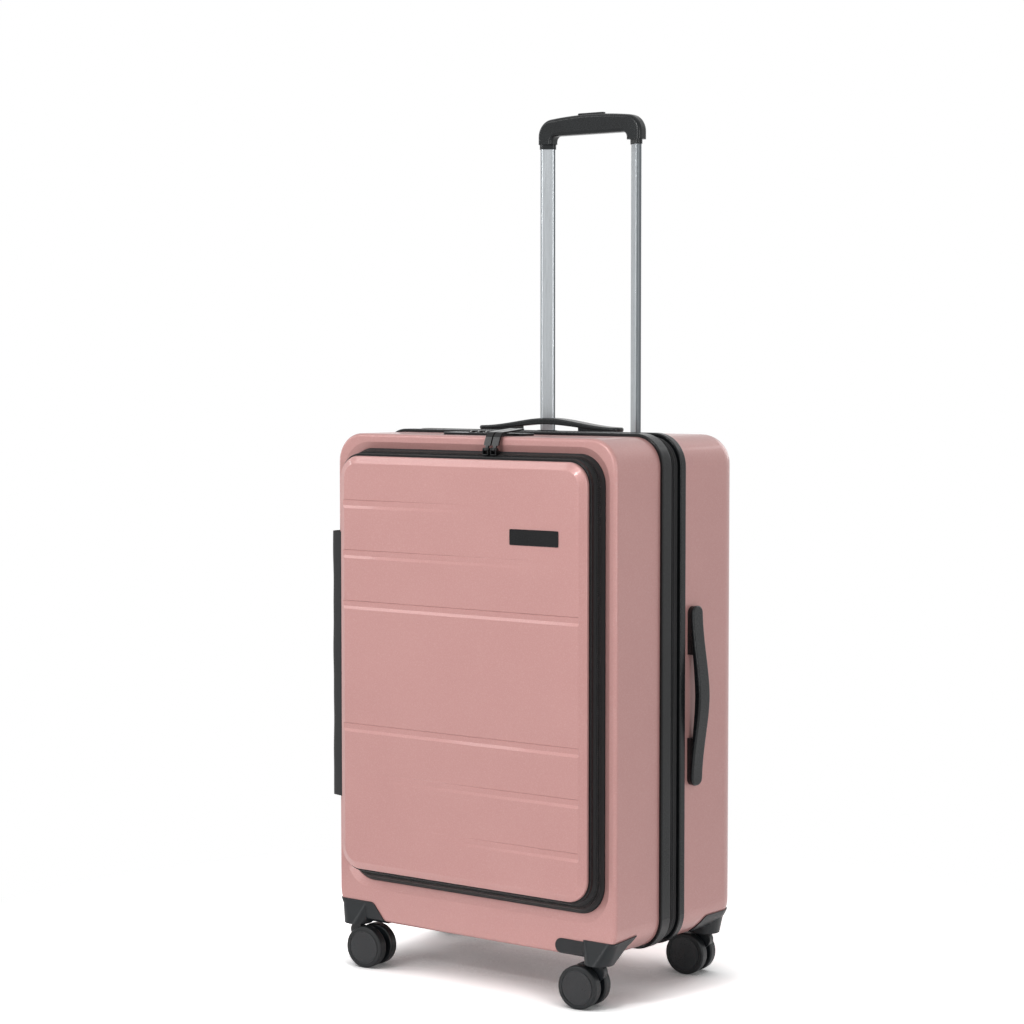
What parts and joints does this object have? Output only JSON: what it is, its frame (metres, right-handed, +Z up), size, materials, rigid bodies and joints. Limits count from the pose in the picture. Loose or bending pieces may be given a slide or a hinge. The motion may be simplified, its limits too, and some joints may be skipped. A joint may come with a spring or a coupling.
{
  "type": "hard shell suitcase",
  "caption": "Upright hard shell suitcase on swivelling twin casters, with a ribbed front pocket door, zips, combination lock, carry handles and a pull-out trolley handle.",
  "frame": {"origin": "on the floor under the middle of the case", "axes": "+Z up, -Y towards the front door, +X to the side with the carry handle"},
  "size_m": [0.4696, 0.2878, 1.074],
  "materials": {
    "shell": "satin pearl rose",
    "rim": "semi-gloss near black profile",
    "zip_tape": "woven tape with coil teeth",
    "hinge_fabric": "plain woven black",
    "lining_board": "lined board",
    "handle": "fine grain",
    "housing": "fine grain",
    "tube": "brushed and anodised",
    "steel": "zinc plated",
    "lock": "semi-gloss black",
    "slider": "black lacquer",
    "pull": "gloss black",
    "badge": "gloss black lacquer, left bare",
    "wheel": "satin"
  },
  "bodies": {
    "rear_case": {"rear_shell": "shell", "rear_rim": "rim", "main_zip_rear_half": "zip_tape", "case_hinge_strip": "hinge_fabric", "trolley_cup": "housing", "guide_tubes": "tube", "guide_foot": "housing", "top_handle": "handle", "top_handle_feet": "handle", "side_handle": "handle", "side_handle_feet": "handle", "handle_screws": "steel", "caster_housing_rear_left": "housing", "caster_housing_rear_right": "housing"},
    "front_case": {"front_shell": "shell", "front_rim": "rim", "main_zip_front_half": "zip_tape", "pocket_panel": "lining_board", "pocket_zip_frame_half": "zip_tape", "door_hinge_flap": "hinge_fabric", "lock_body": "lock", "dial_spindle": "steel", "caster_housing_front_left": "housing", "caster_housing_front_right": "housing"},
    "front_door": {"front_door": "shell", "door_trim": "rim", "pocket_zip_door_half": "zip_tape", "badge_plate": "badge"},
    "lock_dial_1": {"lock_dial_1": "lock"},
    "lock_dial_2": {"lock_dial_2": "lock"},
    "lock_dial_3": {"lock_dial_3": "lock"},
    "lock_button": {"lock_button": "lock"},
    "pocket_slider_left": {"pocket_slider_left": "slider"},
    "pocket_slider_right": {"pocket_slider_right": "slider"},
    "pocket_pull_left": {"pocket_pull_left": "pull"},
    "pocket_pull_right": {"pocket_pull_right": "pull"},
    "main_slider_left": {"main_slider_left": "slider"},
    "main_slider_right": {"main_slider_right": "slider"},
    "trolley": {"trolley_tubes": "tube", "tube_plugs": "housing", "grip_body": "handle", "grip_cover_plate": "handle"},
    "release": {"release_button": "handle", "release_rods": "steel"},
    "caster_front_left": {"caster_fork_front_left": "housing", "caster_axle_front_left": "steel"},
    "wheel_front_left_fore": {"wheel_front_left_fore": "wheel"},
    "wheel_front_left_aft": {"wheel_front_left_aft": "wheel"},
    "caster_front_right": {"caster_fork_front_right": "housing", "caster_axle_front_right": "steel"},
    "wheel_front_right_fore": {"wheel_front_right_fore": "wheel"},
    "wheel_front_right_aft": {"wheel_front_right_aft": "wheel"},
    "caster_rear_left": {"caster_fork_rear_left": "housing", "caster_axle_rear_left": "steel"},
    "wheel_rear_left_fore": {"wheel_rear_left_fore": "wheel"},
    "wheel_rear_left_aft": {"wheel_rear_left_aft": "wheel"},
    "caster_rear_right": {"caster_fork_rear_right": "housing", "caster_axle_rear_right": "steel"},
    "wheel_rear_right_fore": {"wheel_rear_right_fore": "wheel"},
    "wheel_rear_right_aft": {"wheel_rear_right_aft": "wheel"}
  },
  "joints": [
    {"name": "case_opening", "type": "hinge", "parent": "rear_case", "child": "front_case", "pos_m": [-0.223, 0.001, 0.3645], "axis": [0, 0, -1], "range_deg": [0, 180]},
    {"name": "door_opening", "type": "hinge", "parent": "front_case", "child": "front_door", "pos_m": [-0.208, -0.118, 0.3855], "axis": [0, 0, -1], "range_deg": [0, 110]},
    {"name": "trolley_slide", "type": "slide", "parent": "rear_case", "child": "trolley", "axis": [0, 0, 1], "range_m": [-0.4, 0]},
    {"name": "release_press", "type": "slide", "parent": "trolley", "child": "release", "axis": [0, 0, -1], "range_m": [0, 0.004], "stiffness_N_per_m": 800, "springref_m": -0.004},
    {"name": "lock_button_slide", "type": "slide", "parent": "front_case", "child": "lock_button", "axis": [1, 0, 0], "range_m": [0, 0.004], "stiffness_N_per_m": 300, "springref_m": -0.002},
    {"name": "lock_dial_1_spin", "type": "hinge", "parent": "front_case", "child": "lock_dial_1", "pos_m": [-0.031, -0.075, 0.6692], "axis": [1, 0, 0], "continuous": true},
    {"name": "lock_dial_2_spin", "type": "hinge", "parent": "front_case", "child": "lock_dial_2", "pos_m": [-0.019, -0.075, 0.6692], "axis": [1, 0, 0], "continuous": true},
    {"name": "lock_dial_3_spin", "type": "hinge", "parent": "front_case", "child": "lock_dial_3", "pos_m": [-0.007, -0.075, 0.6692], "axis": [1, 0, 0], "continuous": true},
    {"name": "pocket_slider_left_run", "type": "slide", "parent": "front_case", "child": "pocket_slider_left", "axis": [1, 0, 0], "range_m": [-0.165, 0]},
    {"name": "pocket_pull_left_swing", "type": "hinge", "parent": "pocket_slider_left", "child": "pocket_pull_left", "pos_m": [0.03, -0.12394, 0.65406], "axis": [1, 0, 0], "range_deg": [0, 110]},
    {"name": "pocket_slider_right_run", "type": "slide", "parent": "front_case", "child": "pocket_slider_right", "axis": [1, 0, 0], "range_m": [0, 0.1]},
    {"name": "pocket_pull_right_swing", "type": "hinge", "parent": "pocket_slider_right", "child": "pocket_pull_right", "pos_m": [0.042, -0.12394, 0.65406], "axis": [1, 0, 0], "range_deg": [0, 110]},
    {"name": "main_slider_left_run", "type": "slide", "parent": "rear_case", "child": "main_slider_left", "axis": [1, 0, 0], "range_m": [-0.12, 0]},
    {"name": "main_slider_right_run", "type": "slide", "parent": "rear_case", "child": "main_slider_right", "axis": [1, 0, 0], "range_m": [0, 0.12]},
    {"name": "caster_front_left_swivel", "type": "hinge", "parent": "front_case", "child": "caster_front_left", "pos_m": [-0.188, -0.11, 0.06], "axis": [0, 0, 1], "continuous": true},
    {"name": "wheel_front_left_fore_spin", "type": "hinge", "parent": "caster_front_left", "child": "wheel_front_left_fore", "pos_m": [-0.16815, -0.10756, 0.026], "axis": [0.1219, -0.9925, 0], "continuous": true},
    {"name": "wheel_front_left_aft_spin", "type": "hinge", "parent": "caster_front_left", "child": "wheel_front_left_aft", "pos_m": [-0.16815, -0.10756, 0.026], "axis": [0.1219, -0.9925, 0], "continuous": true},
    {"name": "caster_front_right_swivel", "type": "hinge", "parent": "front_case", "child": "caster_front_right", "pos_m": [0.188, -0.11, 0.06], "axis": [0, 0, 1], "continuous": true},
    {"name": "wheel_front_right_fore_spin", "type": "hinge", "parent": "caster_front_right", "child": "wheel_front_right_fore", "pos_m": [0.16815, -0.11244, 0.026], "axis": [0.1219, -0.9925, 0], "continuous": true},
    {"name": "wheel_front_right_aft_spin", "type": "hinge", "parent": "caster_front_right", "child": "wheel_front_right_aft", "pos_m": [0.16815, -0.11244, 0.026], "axis": [0.1219, -0.9925, 0], "continuous": true},
    {"name": "caster_rear_left_swivel", "type": "hinge", "parent": "rear_case", "child": "caster_rear_left", "pos_m": [-0.188, 0.113, 0.06], "axis": [0, 0, 1], "continuous": true},
    {"name": "wheel_rear_left_fore_spin", "type": "hinge", "parent": "caster_rear_left", "child": "wheel_rear_left_fore", "pos_m": [-0.20785, 0.11056, 0.026], "axis": [0.1219, -0.9925, 0], "continuous": true},
    {"name": "wheel_rear_left_aft_spin", "type": "hinge", "parent": "caster_rear_left", "child": "wheel_rear_left_aft", "pos_m": [-0.20785, 0.11056, 0.026], "axis": [0.1219, -0.9925, 0], "continuous": true},
    {"name": "caster_rear_right_swivel", "type": "hinge", "parent": "rear_case", "child": "caster_rear_right", "pos_m": [0.188, 0.113, 0.06], "axis": [0, 0, 1], "continuous": true},
    {"name": "wheel_rear_right_fore_spin", "type": "hinge", "parent": "caster_rear_right", "child": "wheel_rear_right_fore", "pos_m": [0.16815, 0.11056, 0.026], "axis": [0.1219, -0.9925, 0], "continuous": true},
    {"name": "wheel_rear_right_aft_spin", "type": "hinge", "parent": "caster_rear_right", "child": "wheel_rear_right_aft", "pos_m": [0.16815, 0.11056, 0.026], "axis": [0.1219, -0.9925, 0], "continuous": true}
  ]
}
